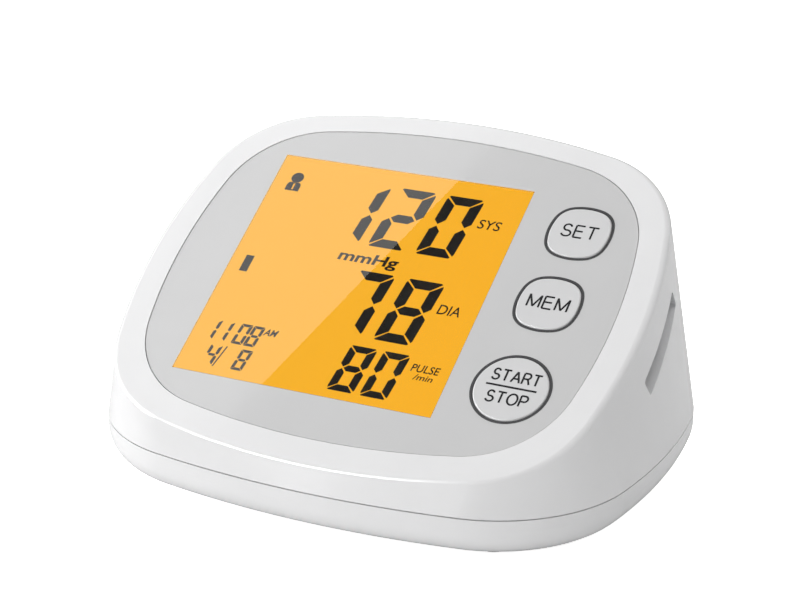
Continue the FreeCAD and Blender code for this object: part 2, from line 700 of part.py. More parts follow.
def make_valve_coil():
    floor = BASE_Z + WALL
    low = floor + 1
    high = VALVE_TOP - 1
    bobbin = rod(5.6, (VALVE_X, VALVE_Y, low), (VALVE_X, VALVE_Y, high))
    waist = pipe(6, 4.6, (VALVE_X, VALVE_Y, low + 1), (VALVE_X, VALVE_Y, high - 1))
    winding = pipe(5.3, 4.6, (VALVE_X, VALVE_Y, low + 1), (VALVE_X, VALVE_Y, high - 1))
    coil = bobbin.cut(waist).fuse(winding)
    return coil.cut(rod(2.3, (VALVE_X, VALVE_Y, low + 3), (VALVE_X, VALVE_Y, high + 1)))


def make_valve_plunger():
    return rod(2.2, (VALVE_X, VALVE_Y, BASE_Z + WALL + 5.6), (VALVE_X, VALVE_Y, VALVE_TOP - 0.2))


def make_valve_head():
    block = box(VALVE_X - 5, VALVE_X + 5, VALVE_Y - 5, VALVE_Y + 5, VALVE_TOP, VALVE_TOP + 5)
    block = block.cut(rod(2.6, (VALVE_X, VALVE_Y, VALVE_TOP - 1), (VALVE_X, VALVE_Y, VALVE_TOP + 1.5)))
    block = block.fuse(rod(BARB_RADIUS, (VALVE_X, LINE_Y, VALVE_TOP + 2), (VALVE_X, LINE_Y, VALVE_TOP + 8.5)))
    return block.cut(rod(0.8, (VALVE_X, LINE_Y, VALVE_TOP + 1), (VALVE_X, LINE_Y, VALVE_TOP + 9)))


def make_manifold():
    centre = (PUMP_X, LINE_Y, LINE_Z)
    block = rounded_box(PUMP_X - 3.5, PUMP_X + 3.5, LINE_Y - 3.5, LINE_Y + 3.5, LINE_Z - 3.5, LINE_Z + 3.5, 1.0)
    ends = ((PUMP_X + 7, LINE_Y, LINE_Z), (PUMP_X, LINE_Y - 7, LINE_Z), (PUMP_X, LINE_Y, LINE_Z - 6.1))
    for end in ends:
        block = block.fuse(rod(BARB_RADIUS, centre, end))
    for end in ends:
        block = block.cut(rod(0.8, centre, end))
    return block


def make_air_tee():
    v, w = line_on_face()
    run = rod(1.9, (TEE_X - 2.2, LINE_Y, LINE_Z), (TEE_X + 2.2, LINE_Y, LINE_Z))
    barbs = rod(BARB_RADIUS, (TEE_X - 5.5, LINE_Y, LINE_Z), (TEE_X + 5.5, LINE_Y, LINE_Z))
    branch = on_face(rod(1.1, (TEE_X, v, w), (TEE_X, v, PCB_BACK - 6.1)))
    tee = fused([run, barbs, branch])
    tee = tee.cut(rod(0.7, (TEE_X - 6, LINE_Y, LINE_Z), (TEE_X + 6, LINE_Y, LINE_Z)))
    return tee.cut(on_face(rod(0.5, (TEE_X, v, w), (TEE_X, v, PCB_BACK - 6))))


def make_air_tubes():
    """Soft tubes pushed over the barbs of the air line."""
    v, w = line_on_face()
    bend = 4.6
    pump_tube = pipe(TUBE_RADIUS, BARB_RADIUS, (PUMP_X, LINE_Y, PUMP_Z + HEAD_RADIUS + 0.3),
                     (PUMP_X, LINE_Y, LINE_Z - 3.7))
    socket_tube = swept_tube(TUBE_RADIUS, BARB_RADIUS,
                             [(-52.8, AIR_Y, AIR_Z), (PUMP_X, AIR_Y, AIR_Z), (PUMP_X, LINE_Y - 3.7, LINE_Z)], bend)
    cross_tube = pipe(TUBE_RADIUS, BARB_RADIUS, (PUMP_X + 3.7, LINE_Y, LINE_Z), (TEE_X - 2.3, LINE_Y, LINE_Z))
    valve_tube = swept_tube(TUBE_RADIUS, BARB_RADIUS,
                            [(TEE_X + 2.3, LINE_Y, LINE_Z), (VALVE_X, LINE_Y, LINE_Z),
                             (VALVE_X, LINE_Y, VALVE_TOP + 5.2)], bend)
    sensor_tube = on_face(pipe(2.0, 1.1, (TEE_X, v, w + 2.1), (TEE_X, v, PCB_BACK - 3.2)))
    return Part.makeCompound([pump_tube, socket_tube, cross_tube, valve_tube, sensor_tube])


def make_air_socket():
    inner_end = -53.0
    body = rod(6.0, (AIR_OUT, AIR_Y, AIR_Z), (inner_end, AIR_Y, AIR_Z))
    lip = [e for e in body.Edges if e.BoundBox.XMax < AIR_OUT + 1e-4]
    body = body.makeFillet(0.6, lip)
    barb = rod(BARB_RADIUS, (inner_end - 1, AIR_Y, AIR_Z), (-49.2, AIR_Y, AIR_Z))
    socket = body.fuse(barb)
    socket = socket.cut(rod(AIR_BORE, (AIR_OUT - 1, AIR_Y, AIR_Z), (inner_end - 1.4, AIR_Y, AIR_Z)))
    return socket.cut(rod(0.8, (inner_end - 3, AIR_Y, AIR_Z), (-45, AIR_Y, AIR_Z)))


def make_wiring():
    """Leads from the motor, the valve and the battery contacts up to the circuit board."""
    floor = BASE_Z + WALL
    routes = []
    for side in (-1, 1):
        routes.append([(PUMP_X + 4 * side, PUMP_START, PUMP_Z + 2), (PUMP_X + 4 * side, PUMP_START - 6, PUMP_Z + 2),
                       (-28 + 2 * side, PUMP_START - 6, PUMP_Z - 5), (-24 + 2 * side, -21.0, 20.0)])
        lead_x = VALVE_X + 1.2 * side
        routes.append([(lead_x, VALVE_Y - 5.3, floor + 4), (lead_x, VALVE_Y - 11, floor + 4),
                       (lead_x, VALVE_Y - 11, 42)])
        routes.append([(26 * side, TRAY_FRONT, 17), (26 * side, TRAY_FRONT - 5, 17), (18 * side, -20.5, 20.4)])
    above_board = on_face(box(-80, 80, -60, 60, PCB_BACK, PCB_BACK + 20))
    return Part.makeCompound([swept_tube(0.7, 0, route, 2.2).cut(above_board) for route in routes])


# ---------------------------------------------------------------- assembly
def build():
    outer = upper_body(0.0, 0.0, SPLIT_Z)
    outer = outer.makeFillet(EDGE_ROUND, crown_edges(outer))
    cavity = upper_body(-WALL, WEB_BACK, SPLIT_Z - 0.01)
    tub = tub_body(0.0, BASE_Z)
    tub_hollow = tub_body(-WALL, BASE_Z + WALL)
    nodes = {
        "top_case": make_top_case(outer, cavity),
        "bottom_case": make_bottom_case(tub, tub_hollow),
        "battery_cover": make_battery_cover(tub, tub_hollow),
        "battery_tray": make_battery_tray(),
        "battery_contacts": Part.makeCompound(make_contact_plates() + make_contact_springs()),
        "face_panel": make_face_panel(),
        "display_window": on_face(window_block(WINDOW_SIZE, PANEL_BACK + 0.1, PANEL_TOP)),
        "port_insert": make_port_insert(cavity),
        "case_screws": make_case_screws(),
        "lcd_glass": on_face(window_block((GLASS_SIZE, GLASS_SIZE), GLASS_BACK, PANEL_BACK)),
        "lcd_polariser": on_face(window_block((66.5, 65.4), GLASS_BACK - 0.2, GLASS_BACK)),
        "lcd_frame": make_lcd_frame(),
        "light_guide": on_face(window_block(GUIDE_SIZE, -7.6, GLASS_BACK - 0.3)),
        "lcd_reflector": on_face(window_block(GUIDE_SIZE, -7.85, -7.65)),
        "backlight_leds": make_backlight_leds(),
        "elastomer_strips": make_elastomer_strips(),
        "main_pcb": make_main_pcb(),
        "pcb_screws": make_pcb_screws(),
        "controller_chip": make_controller_chip(),
        "crystal": make_crystal(),
        "capacitors": make_capacitors(),
        "buzzer": make_buzzer(),
        "pressure_sensor": make_pressure_sensor(),
        "power_socket": make_power_socket(),
        "motor_can": make_motor_can(),
        "motor_magnets": make_motor_magnets(),
        "motor_rotor": make_motor_rotor(),
        "pump_crank": make_pump_crank(),
        "wobble_plate": make_wobble_plate(),
        "pump_housing": make_pump_housing(),
        "diaphragm": make_diaphragm(),
        "pump_head": make_pump_head(),
        "valve_frame": make_valve_frame(),
        "valve_coil": make_valve_coil(),
        "valve_plunger": make_valve_plunger(),
        "valve_head": make_valve_head(),
        "air_fittings": Part.makeCompound([make_manifold(), make_air_tee()]),
        "air_tubes": make_air_tubes(),
        "air_socket": make_air_socket(),
        "wiring": make_wiring(),
    }
    for index, (x, y) in enumerate(FEET, 1):
        nodes["foot_%d" % index] = make_foot(x, y)
    for index, x in enumerate(cell_places(), 1):
        nodes["battery_%d" % index] = make_cell(x, index % 2 == 1)
    for name in KEYS:
        nodes["key_" + name] = make_key(name)
        nodes["ring_" + name] = make_key_ring(name)
        nodes["switch_" + name] = make_switch(name)
        nodes["stem_" + name] = make_stem(name)
    return nodes


def main():
    os.makedirs("parts", exist_ok=True)
    for name, shape in build().items():
        if not shape.isValid():
            print("not valid:", name)
        shape.exportStep("parts/%s.step" % name)
        print(name, len(shape.Solids), round(shape.Volume, 1))


main()
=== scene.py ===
"""Looks of the desktop blood pressure monitor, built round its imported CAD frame. Metres throughout."""
import json
import math

import bmesh
import bpy
from mathutils import Matrix, Vector


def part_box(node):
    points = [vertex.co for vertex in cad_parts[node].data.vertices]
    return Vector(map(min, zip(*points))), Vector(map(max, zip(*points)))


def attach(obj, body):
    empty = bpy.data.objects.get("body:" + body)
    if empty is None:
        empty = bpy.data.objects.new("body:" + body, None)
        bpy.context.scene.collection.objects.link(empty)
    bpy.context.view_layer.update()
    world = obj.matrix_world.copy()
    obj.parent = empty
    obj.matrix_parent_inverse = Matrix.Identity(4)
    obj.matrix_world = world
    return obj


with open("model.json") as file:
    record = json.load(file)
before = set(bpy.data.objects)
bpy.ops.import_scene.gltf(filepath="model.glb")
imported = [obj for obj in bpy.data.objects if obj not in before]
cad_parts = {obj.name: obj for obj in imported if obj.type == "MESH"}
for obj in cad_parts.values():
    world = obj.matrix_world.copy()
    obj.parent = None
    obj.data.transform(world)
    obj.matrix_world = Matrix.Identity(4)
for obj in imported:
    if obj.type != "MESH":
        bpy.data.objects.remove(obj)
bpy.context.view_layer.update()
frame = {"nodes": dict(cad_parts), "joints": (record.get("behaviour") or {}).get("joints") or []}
NODES = frame["nodes"]
MM = 0.001

# ---------------------------------------------------------------- the sloping face
KEY_JOINT = next(j for j in frame["joints"] if j["name"] == "key_start_press")
OUT = Vector(KEY_JOINT["axis"]).normalized()
ACROSS = Vector((1, 0, 0))
UP = OUT.cross(ACROSS).normalized()


def along(node, direction):
    """Lowest and highest reach of a CAD node along a direction."""
    reach = [v.co.dot(direction) for v in NODES[node].data.vertices]
    return min(reach), max(reach)


def middle(node):
    """Centre of a CAD node in the face's own directions: across, up and out."""
    return [sum(along(node, d)) / 2 for d in (ACROSS, UP, OUT)]


WINDOW_ACROSS = along("display_window", ACROSS)
WINDOW_UP = along("display_window", UP)
WINDOW_OUT = along("display_window", OUT)
GLASS_TOP = along("lcd_glass", OUT)[1]
DISPLAY_CENTRE = ((WINDOW_ACROSS[0] + WINDOW_ACROSS[1]) / 2, (WINDOW_UP[0] + WINDOW_UP[1]) / 2)


def face_matrix(u, v, w):
    """Places a flat drawing on the face: its x runs across, y up the slope and z outwards."""
    turn = Matrix((ACROSS, UP, OUT)).transposed().to_4x4()
    return Matrix.Translation(ACROSS * u + UP * v + OUT * w) @ turn


# ---------------------------------------------------------------- material helpers
def new_material(name):
    """Empty node material, with its node tree and its main shader."""
    material = bpy.data.materials.new(name)
    material.use_nodes = True
    tree = material.node_tree
    shader = tree.nodes["Principled BSDF"]
    return material, tree, shader


def add(tree, kind, **settings):
    """Adds a node; each setting is a socket's value where a socket has that name, else an attribute."""
    node = tree.nodes.new(kind)
    for key, value in settings.items():
        if key in node.inputs:
            node.inputs[key].default_value = value
        else:
            setattr(node, key, value)
    return node


def object_coordinates(tree):
    return add(tree, "ShaderNodeTexCoord").outputs["Object"]


def noise(tree, scale, detail):
    """Cloudy noise fixed to the object, from 0 to 1."""
    node = add(tree, "ShaderNodeTexNoise", Scale=scale, Detail=detail)
    tree.links.new(object_coordinates(tree), node.inputs["Vector"])
    return node.outputs["Fac"]


def ramp(tree, source, low, high, start=0.0, end=1.0):
    """Blend from one colour to another as the source goes from start to end."""
    node = tree.nodes.new("ShaderNodeValToRGB")
    first, last = node.color_ramp.elements
    first.position, last.position = start, end
    first.color, last.color = low, high
    tree.links.new(source, node.inputs["Fac"])
    return node.outputs["Color"]


def remap(tree, source, low, high):
    """Stretches a source of 0 to 1 over another range."""
    node = add(tree, "ShaderNodeMapRange")
    node.inputs["To Min"].default_value = low
    node.inputs["To Max"].default_value = high
    tree.links.new(source, node.inputs["Value"])
    return node.outputs["Result"]


def bump(tree, shader, height, strength, distance):
    """Fine surface relief, with its depth in metres."""
    node = add(tree, "ShaderNodeBump", Strength=strength, Distance=distance)
    tree.links.new(height, node.inputs["Height"])
    tree.links.new(node.outputs["Normal"], shader.inputs["Normal"])


def grey(value):
    return (value, value, value, 1)


def tinted(colour, factor):
    return (min(1, colour[0] * factor), min(1, colour[1] * factor), min(1, colour[2] * factor), 1)


def moulded_plastic(name, colour, gloss_low, gloss_high, texture=0.06, grain=5200, coat=0.0):
    """Injection-moulded plastic: a fine spark-eroded grain, slight waviness and uneven gloss."""
    material, tree, shader = new_material(name)
    clouds = noise(tree, 45, 3)
    colour_out = ramp(tree, clouds, tinted(colour, 0.975), tinted(colour, 1.01), 0.3, 0.7)
    tree.links.new(colour_out, shader.inputs["Base Color"])
    tree.links.new(remap(tree, noise(tree, 130, 4), gloss_low, gloss_high), shader.inputs["Roughness"])
    bump(tree, shader, noise(tree, grain, 2), texture, 0.00003)
    shader.inputs["Coat Weight"].default_value = coat
    shader.inputs["Coat Roughness"].default_value = 0.04
    return material


def rubber(name, colour, roughness=0.75):
    """Moulded rubber: dull, with a fine soft grain."""
    material, tree, shader = new_material(name)
    tree.links.new(ramp(tree, noise(tree, 900, 4), tinted(colour, 0.85), tinted(colour, 1.15), 0.35, 0.65),
                   shader.inputs["Base Color"])
    tree.links.new(remap(tree, noise(tree, 300, 3), roughness - 0.08, roughness + 0.08),
                   shader.inputs["Roughness"])
    bump(tree, shader, noise(tree, 3500, 3), 0.15, 0.00004)
    return material


def metal(name, colour, roughness, stretch=(1, 1, 60)):
    """Metal with fine drawn lines along one direction."""
    material, tree, shader = new_material(name)
    mapping = add(tree, "ShaderNodeMapping")
    mapping.inputs["Scale"].default_value = stretch
    tree.links.new(object_coordinates(tree), mapping.inputs["Vector"])
    lines = add(tree, "ShaderNodeTexNoise", Scale=250.0, Detail=4.0)
    tree.links.new(mapping.outputs["Vector"], lines.inputs["Vector"])
    tree.links.new(ramp(tree, lines.outputs["Fac"], tinted(colour, 0.85), tinted(colour, 1.1), 0.3, 0.7),
                   shader.inputs["Base Color"])
    tree.links.new(remap(tree, lines.outputs["Fac"], roughness * 0.7, roughness * 1.3),
                   shader.inputs["Roughness"])
    shader.inputs["Metallic"].default_value = 1.0
    bump(tree, shader, lines.outputs["Fac"], 0.08, 0.00003)
    return material


def clear_plastic(name, colour, gloss_low, gloss_high):
    """Clear acrylic with a polished surface that is faintly wiped."""
    material, tree, shader = new_material(name)
    shader.inputs["Base Color"].default_value = colour
    tree.links.new(remap(tree, noise(tree, 60, 4), gloss_low, gloss_high), shader.inputs["Roughness"])
    shader.inputs["Transmission Weight"].default_value = 1.0
    shader.inputs["IOR"].default_value = 1.49
    return material


def printed_circuit(name):
    """Green solder mask with faint copper tracks and pads."""
    material, tree, shader = new_material(name)
    mask = (0.012, 0.105, 0.045, 1)
    track = (0.03, 0.21, 0.08, 1)
    bricks = add(tree, "ShaderNodeTexBrick", Scale=160.0)
    bricks.inputs["Color1"].default_value = track
    bricks.inputs["Color2"].default_value = tinted(track, 0.85)
    bricks.inputs["Mortar"].default_value = mask
    bricks.inputs["Mortar Size"].default_value = 0.09
    tree.links.new(object_coordinates(tree), bricks.inputs["Vector"])
    tree.links.new(bricks.outputs["Color"], shader.inputs["Base Color"])
    tree.links.new(remap(tree, noise(tree, 200, 3), 0.22, 0.38), shader.inputs["Roughness"])
    bump(tree, shader, bricks.outputs["Fac"], 0.2, 0.00003)
    return material


def striped(name, first, second, scale, direction, roughness, metallic=0.0, distance=0.0001):
    """Closely wound or banded surface: even stripes across one direction."""
    material, tree, shader = new_material(name)
    wave = add(tree, "ShaderNodeTexWave", Scale=scale, Distortion=0.3, Detail=1.0)
    wave.bands_direction = direction
    tree.links.new(object_coordinates(tree), wave.inputs["Vector"])
    tree.links.new(ramp(tree, wave.outputs["Fac"], first, second), shader.inputs["Base Color"])
    shader.inputs["Roughness"].default_value = roughness
    shader.inputs["Metallic"].default_value = metallic
    bump(tree, shader, wave.outputs["Fac"], 0.5, distance)
    return material


def cell_wrap(name, nub_sign, cell):
    """Printed sleeve of a cell: a plain dark body with a coppery band at its positive end."""
    material, tree, shader = new_material(name)
    low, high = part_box(cell)
    separate = add(tree, "ShaderNodeSeparateXYZ")
    tree.links.new(object_coordinates(tree), separate.inputs["Vector"])
    span = add(tree, "ShaderNodeMapRange")
    ends = (low.y, high.y) if nub_sign > 0 else (high.y, low.y)
    span.inputs["From Min"].default_value = ends[0]
    span.inputs["From Max"].default_value = ends[1]
    tree.links.new(separate.outputs["Y"], span.inputs["Value"])
    bands = tree.nodes.new("ShaderNodeValToRGB")
    bands.color_ramp.interpolation = "CONSTANT"
    stops = ((0.0, (0.55, 0.55, 0.54, 1)), (0.03, (0.02, 0.022, 0.025, 1)), (0.66, (0.5, 0.22, 0.07, 1)),
             (0.965, (0.6, 0.6, 0.58, 1)))
    while len(bands.color_ramp.elements) < len(stops):
        bands.color_ramp.elements.new(0.5)
    for element, (position, colour) in zip(bands.color_ramp.elements, stops):
        element.position = position
        element.color = colour
    tree.links.new(span.outputs["Result"], bands.inputs["Fac"])
    tree.links.new(bands.outputs["Color"], shader.inputs["Base Color"])
    tree.links.new(remap(tree, noise(tree, 300, 3), 0.18, 0.32), shader.inputs["Roughness"])
    shader.inputs["Metallic"].default_value = 0.55
    return material


def backlit_amber(name):
    """Amber backlight of the display, a little deeper away from its lamps."""
    material, tree, shader = new_material(name)
    separate = add(tree, "ShaderNodeSeparateXYZ")
    tree.links.new(object_coordinates(tree), separate.inputs["Vector"])
    span = add(tree, "ShaderNodeMapRange")
    span.inputs["From Min"].default_value = WINDOW_ACROSS[0]
    span.inputs["From Max"].default_value = WINDOW_ACROSS[1]
    tree.links.new(separate.outputs["X"], span.inputs["Value"])
    glow = ramp(tree, span.outputs["Result"], (0.97, 0.47, 0.02, 1), (1.0, 0.465, 0.017, 1))
    tree.links.new(glow, shader.inputs["Emission Color"])
    shader.inputs["Emission Strength"].default_value = 1.0
    shader.inputs["Base Color"].default_value = (0.03, 0.015, 0.004, 1)
    shader.inputs["Roughness"].default_value = 0.5
    shader.inputs["Specular IOR Level"].default_value = 0.0
    return material


def flat_ink(name, colour):
    """Printed ink, very slightly uneven."""
    material, tree, shader = new_material(name)
    tree.links.new(ramp(tree, noise(tree, 1500, 2), tinted(colour, 0.9), tinted(colour, 1.1), 0.4, 0.6),
                   shader.inputs["Base Color"])
    shader.inputs["Roughness"].default_value = 0.5
    shader.inputs["Specular IOR Level"].default_value = 0.15
    return material


# ---------------------------------------------------------------- materials
WHITE = moulded_plastic("white_plastic", (0.83, 0.83, 0.835), 0.19, 0.25, 0.05)
TRAY_WHITE = moulded_plastic("tray_plastic", (0.7, 0.7, 0.69), 0.4, 0.5, 0.2)
PANEL_GREY = moulded_plastic("panel_plastic", (0.575, 0.575, 0.577), 0.38, 0.46, 0.03, coat=0.4)
KEY_GREY = moulded_plastic("key_plastic", (0.64, 0.64, 0.645), 0.36, 0.44, 0.04, coat=0.1)
RING_DARK = rubber("ring_rubber", (0.022, 0.022, 0.025), 0.5)
INSERT_GREY = moulded_plastic("insert_plastic", (0.36, 0.36, 0.38), 0.45, 0.55, 0.2)
FOOT_RUBBER = rubber("foot_rubber", (0.035, 0.035, 0.037))
DARK_RUBBER = rubber("diaphragm_rubber", (0.02, 0.02, 0.02), 0.6)
PINK_ELASTOMER = striped("elastomer_strip", (0.5, 0.2, 0.22, 1), (0.04, 0.03, 0.03, 1), 1500, "X", 0.6)
SILICONE = rubber("silicone_tube", (0.62, 0.63, 0.62), 0.35)
WIRE_RED = rubber("wire_sleeve", (0.45, 0.02, 0.02), 0.4)
STEEL = metal("drawn_steel", (0.56, 0.56, 0.57), 0.3)
NICKEL = metal("nickel_plate", (0.72, 0.7, 0.66), 0.18, (1, 20, 1))
MAGNET = metal("sintered_magnet", (0.1, 0.1, 0.105), 0.55, (1, 1, 1))
COPPER_COIL = striped("copper_winding", (0.35, 0.12, 0.05, 1), (0.72, 0.33, 0.16, 1), 700, "Z", 0.25, 0.9)
ROTOR_STEEL = striped("rotor_laminations", (0.2, 0.2, 0.2, 1), (0.5, 0.5, 0.5, 1), 500, "Y", 0.35, 0.9)
PCB = printed_circuit("circuit_board")
CHIP = moulded_plastic("chip_epoxy", (0.022, 0.022, 0.024), 0.4, 0.55, 0.3, 3000)
SWITCH_BLACK = moulded_plastic("switch_plastic", (0.03, 0.03, 0.032), 0.35, 0.45, 0.15)
HOUSING_GREY = moulded_plastic("pump_plastic", (0.12, 0.125, 0.13), 0.4, 0.5, 0.25)
CAPACITOR = striped("capacitor_sleeve", (0.02, 0.025, 0.12, 1), (0.03, 0.035, 0.16, 1), 90, "X", 0.25)
LAMP_YELLOW = moulded_plastic("lamp_lens", (0.75, 0.62, 0.25), 0.15, 0.25, 0.05)
SOCKET_GREY = moulded_plastic("socket_plastic", (0.6, 0.6, 0.61), 0.3, 0.4, 0.08)
POLARISER = moulded_plastic("polariser_film", (0.5, 0.3, 0.05), 0.2, 0.3, 0.02)
GUIDE = clear_plastic("light_guide_acrylic", (0.95, 0.93, 0.86, 1), 0.06, 0.2)
WINDOW = clear_plastic("window_acrylic", (1, 1, 1, 1), 0.0, 0.012)
AMBER = backlit_amber("display_amber")
SEGMENT_INK = flat_ink("display_segment", (0.006, 0.005, 0.004))
KEY_INK = flat_ink("key_print", (0.012, 0.012, 0.014))

NODE_MATERIALS = {
    "top_case": WHITE, "bottom_case": WHITE, "battery_cover": WHITE, "battery_tray": TRAY_WHITE,
    "battery_contacts": NICKEL, "face_panel": PANEL_GREY, "display_window": WINDOW,
    "port_insert": INSERT_GREY, "case_screws": STEEL, "lcd_glass": AMBER, "lcd_polariser": POLARISER,
    "lcd_frame": TRAY_WHITE, "light_guide": GUIDE, "lcd_reflector": NICKEL, "backlight_leds": LAMP_YELLOW,
    "elastomer_strips": PINK_ELASTOMER, "main_pcb": PCB, "pcb_screws": STEEL, "controller_chip": CHIP,
    "crystal": NICKEL, "capacitors": CAPACITOR, "buzzer": CHIP, "pressure_sensor": HOUSING_GREY,
    "power_socket": NICKEL, "motor_can": STEEL, "motor_magnets": MAGNET, "motor_rotor": ROTOR_STEEL,
    "pump_crank": HOUSING_GREY, "wobble_plate": TRAY_WHITE, "pump_housing": HOUSING_GREY,
    "diaphragm": DARK_RUBBER, "pump_head": HOUSING_GREY, "valve_frame": STEEL, "valve_coil": COPPER_COIL,
    "valve_plunger": STEEL, "valve_head": HOUSING_GREY, "air_fittings": TRAY_WHITE, "air_tubes": SILICONE,
    "air_socket": SOCKET_GREY, "wiring": WIRE_RED,
}
PREFIX_MATERIALS = {"foot_": FOOT_RUBBER, "key_": KEY_GREY, "ring_": RING_DARK, "switch_": SWITCH_BLACK,
                    "stem_": TRAY_WHITE}


def dress(node, material):
    mesh = NODES[node].data
    mesh.materials.clear()
    mesh.materials.append(material)


for node in NODES:
    if node in NODE_MATERIALS:
        dress(node, NODE_MATERIALS[node])
    for prefix, material in PREFIX_MATERIALS.items():
        if node.startswith(prefix):
            dress(node, material)
for number in range(1, 5):        # the cells lie head to tail
    cell = "battery_%d" % number
    dress(cell, cell_wrap("cell_wrap_%d" % number, -1 if number % 2 else 1, cell))


# ---------------------------------------------------------------- flat pieces
PRINT_HALF = 0.00002              # half the thickness of a flat graphic


def bow(cx, cy, rx, ry, start, end, steps=14):
    """Points along part of an ellipse, from one angle to another in degrees."""
    turn = [math.radians(start + (end - start) * i / steps) for i in range(steps + 1)]
    return [(cx + rx * math.cos(a), cy + ry * math.sin(a)) for a in turn]


def flat_mesh(name, outlines, holes=()):
    """Flat filled outlines in millimetres, as one mesh."""
    curve = bpy.data.curves.new(name, "CURVE")
    curve.dimensions = "2D"
    curve.fill_mode = "BOTH"
    curve.extrude = PRINT_HALF
    for outline in list(outlines) + list(holes):
        spline = curve.splines.new("POLY")
        spline.points.add(len(outline) - 1)
        for point, (x, y) in zip(spline.points, outline):
            point.co = (x * MM, y * MM, 0, 1)
        spline.use_cyclic_u = True
    return mesh_of(name, curve)


def mesh_of(name, curve):
    """Mesh of a curve or text."""
    holder = bpy.data.objects.new(name + "_curve", curve)
    bpy.context.scene.collection.objects.link(holder)
    bpy.context.view_layer.update()
    mesh = bpy.data.meshes.new_from_object(holder.evaluated_get(bpy.context.evaluated_depsgraph_get()))
    bpy.data.objects.remove(holder)
    mesh.name = name
    return mesh


def put_on_face(name, mesh, material, u, v, w, body):
    """Adds a flat piece on the face and lets it ride on a body."""
    mesh.materials.clear()
    mesh.materials.append(material)
    piece = bpy.data.objects.new(name, mesh)
    bpy.context.scene.collection.objects.link(piece)
    piece.matrix_world = face_matrix(u, v, w)
    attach(piece, body)


# ---------------------------------------------------------------- display graphics
def segments(width, height, upright, level):
    """Outlines of the seven segments of a digit, keyed a to g."""
    unit = upright / 2.8
    half = height / 2
    tip = 0.46 * upright
    gap = 0.17 * unit + 0.1
    lower = half + 1.5 * unit
    inner_lower = half + 1.75 * unit
    inner_top = height - level - 0.32 * unit

    def mirror_x(points):
        return [(width - x, y) for x, y in points]

    def mirror_y(points):
        return [(x, height - y) for x, y in points]

    top = [(0.35 * unit, height - 0.3 * unit), (0.6 * unit, height), (width - 0.9 * unit, height),
           (width - 0.55 * unit, height - 0.3 * unit), (width - upright, height - level),
           (upright, height - level)]
    left_upper = [(0.2 * unit, height - 0.75 * unit), (upright - 0.1 * unit, inner_top),
                  (upright - 0.1 * unit, inner_lower), (tip, half + gap), (0, lower),
                  (0, height - 1.3 * unit)]
    slim = level * 0.48
    middle_bar = [(tip + 1.2 * gap, half), (upright + 0.1 * unit, half + slim),
                  (width - upright - 0.1 * unit, half + slim), (width - tip - 1.2 * gap, half),
                  (width - upright - 0.1 * unit, half - slim), (upright + 0.1 * unit, half - slim)]
    return {"a": top, "d": mirror_y(top), "g": middle_bar, "f": left_upper, "b": mirror_x(left_upper),
            "e": mirror_y(left_upper), "c": mirror_x(mirror_y(left_upper))}


LIT = {"0": "abcdef", "1": "bc", "2": "abged", "4": "fgbc", "7": "abc", "8": "abcdefg"}


def digit(text, x, y, width, height, upright, level, slant):
    """Outlines of one lit digit with its lower left corner at x, y."""
    shapes = segments(width, height, upright, level)
    return [[(x + px + slant * py, y + py) for px, py in shapes[key]] for key in LIT[text]]


# width and height of a digit, thickness of its upright and level segments, and its slant
BIG = (9.5, 18.4, 2.85, 2.5, 0.089)
SMALL = (6.75, 12.85, 2.05, 1.75, 0.084)
TINY = (3.0, 5.9, 0.82, 0.72, 0.1)
DIGITS = (                        # digit, left edge and foot in mm from the window's centre, size
    ("1", -13.2, 10.15, BIG), ("2", -1.2, 10.15, BIG), ("0", 11.2, 10.15, BIG),
    ("7", -1.5, -15.65, BIG), ("8", 11.2, -15.65, BIG),
    ("8", 6.05, -31.1, SMALL), ("0", 14.35, -31.1, SMALL),
    ("1", -30.2, -23.9, TINY), ("1", -26.95, -23.9, TINY),
    ("0", -22.15, -23.9, TINY), ("8", -18.9, -23.9, TINY),
    ("4", -26.95, -30.9, TINY), ("8", -18.95, -30.9, TINY),
)
DATE_SLASH = [(-23.7, -31.0), (-23.35, -31.0), (-22.15, -25.0), (-22.5, -25.0)]
LEVEL_MARK = [(-29.6, -3.25), (-27.5, -3.25), (-27.5, 1.6), (-29.6, 1.6)]
USER_HEAD = bow(-27.25, 26.85, 1.62, 1.62, -64, 244, 16)
SHIFT = (-0.26, 0.32)             # of all graphics, in mm: they lie a little below the window's surface


def display_outlines():
    """Outlines of every lit digit and of the plain marks."""
    outlines = []
    for text, x, y, size in DIGITS:
        outlines += digit(text, x, y, *size)
    return outlines + [DATE_SLASH, LEVEL_MARK, USER_HEAD]


def person_outline():
    """Shoulders of the user sign, with a figure one left open in them."""
    body = [(-29.1, 22.7), (-25.4, 22.7)] + bow(-26.5, 24.3, 1.1, 1.1, 0, 70, 6)
    body += bow(-28.0, 24.3, 1.1, 1.1, 110, 180, 6)
    one = [(-27.45, 23.1), (-27.0, 23.1), (-27.0, 25.0), (-27.3, 25.0), (-27.7, 24.65), (-27.45, 24.6)]
    return body, one


def text_mesh(name, text, width, height, bold, shear):
    """Plain lettering fitted to a width and height in millimetres, centred on its own box."""
    curve = bpy.data.curves.new(name, "FONT")
    curve.body = text
    curve.size = 10 * MM
    curve.shear = shear
    curve.extrude = PRINT_HALF
    curve.offset = bold * MM
    curve.resolution_u = 6
    mesh = mesh_of(name, curve)
    xs = [v.co.x for v in mesh.vertices]
    ys = [v.co.y for v in mesh.vertices]
    scale_x = width * MM / (max(xs) - min(xs))
    scale_y = height * MM / (max(ys) - min(ys))
    centre = Vector(((max(xs) + min(xs)) / 2, (max(ys) + min(ys)) / 2, 0))
    mesh.transform(Matrix.Diagonal((scale_x, scale_y, 1, 1)) @ Matrix.Translation(-centre))
    return mesh


